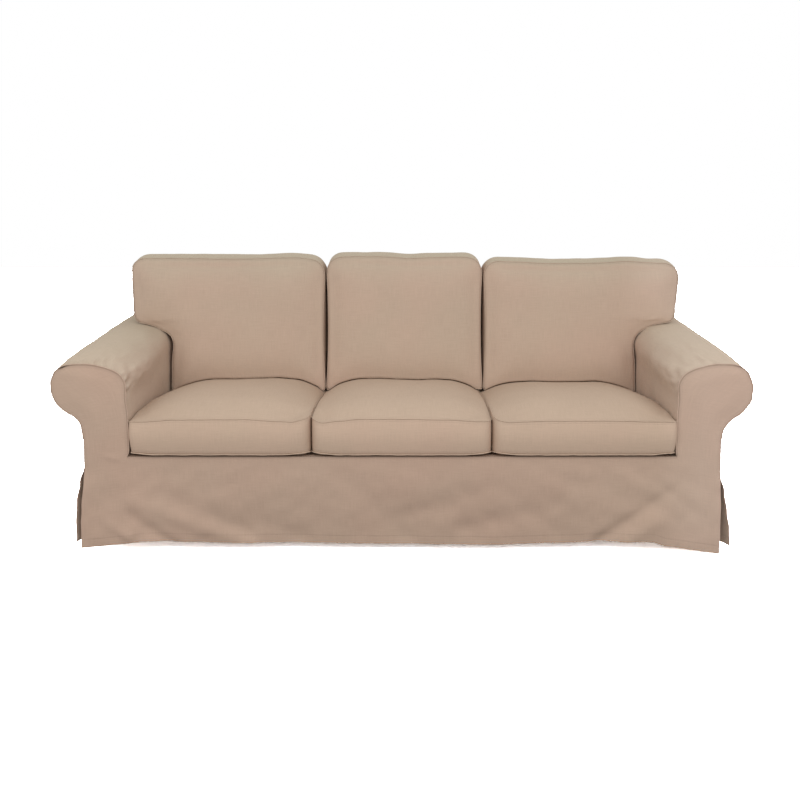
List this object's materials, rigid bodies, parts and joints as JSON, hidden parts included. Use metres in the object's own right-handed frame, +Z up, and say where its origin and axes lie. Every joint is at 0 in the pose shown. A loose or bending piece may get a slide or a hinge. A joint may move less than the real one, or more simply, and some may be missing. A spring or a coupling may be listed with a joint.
{
  "type": "loose fitted sofa cover",
  "caption": "Loose cotton cover for a sofa with rolled arms, hollow and open at the floor, with boxed seat cushions and back cushions in covers of the same cloth.",
  "frame": {"origin": "under the cloth on top of the back, halfway along it, where the frame's back carries the cover", "axes": "+X to the right seen from the front, +Y towards the back, +Z up"},
  "size_m": [2.1802, 0.8883, 0.918],
  "materials": {
    "cover_cloth": "washed cotton canvas, matt",
    "cushion_cloth": "washed cotton canvas, matt, drawn over filled cushions"
  },
  "bodies": {
    "root": {"arm_front_left": "cover_cloth", "arm_front_right": "cover_cloth", "arm_back_left": "cover_cloth", "arm_back_right": "cover_cloth", "arm_wrap_left": "cover_cloth", "arm_wrap_right": "cover_cloth", "arm_side_left": "cover_cloth", "arm_side_right": "cover_cloth", "front_skirt": "cover_cloth", "seat_deck": "cover_cloth", "inside_back": "cover_cloth", "outside_back": "cover_cloth", "back_band": "cover_cloth", "seat_cushion_left": "cushion_cloth", "seat_cushion_middle": "cushion_cloth", "seat_cushion_right": "cushion_cloth", "back_cushion_left": "cushion_cloth", "back_cushion_middle": "cushion_cloth", "back_cushion_right": "cushion_cloth"}
  },
  "joints": []
}
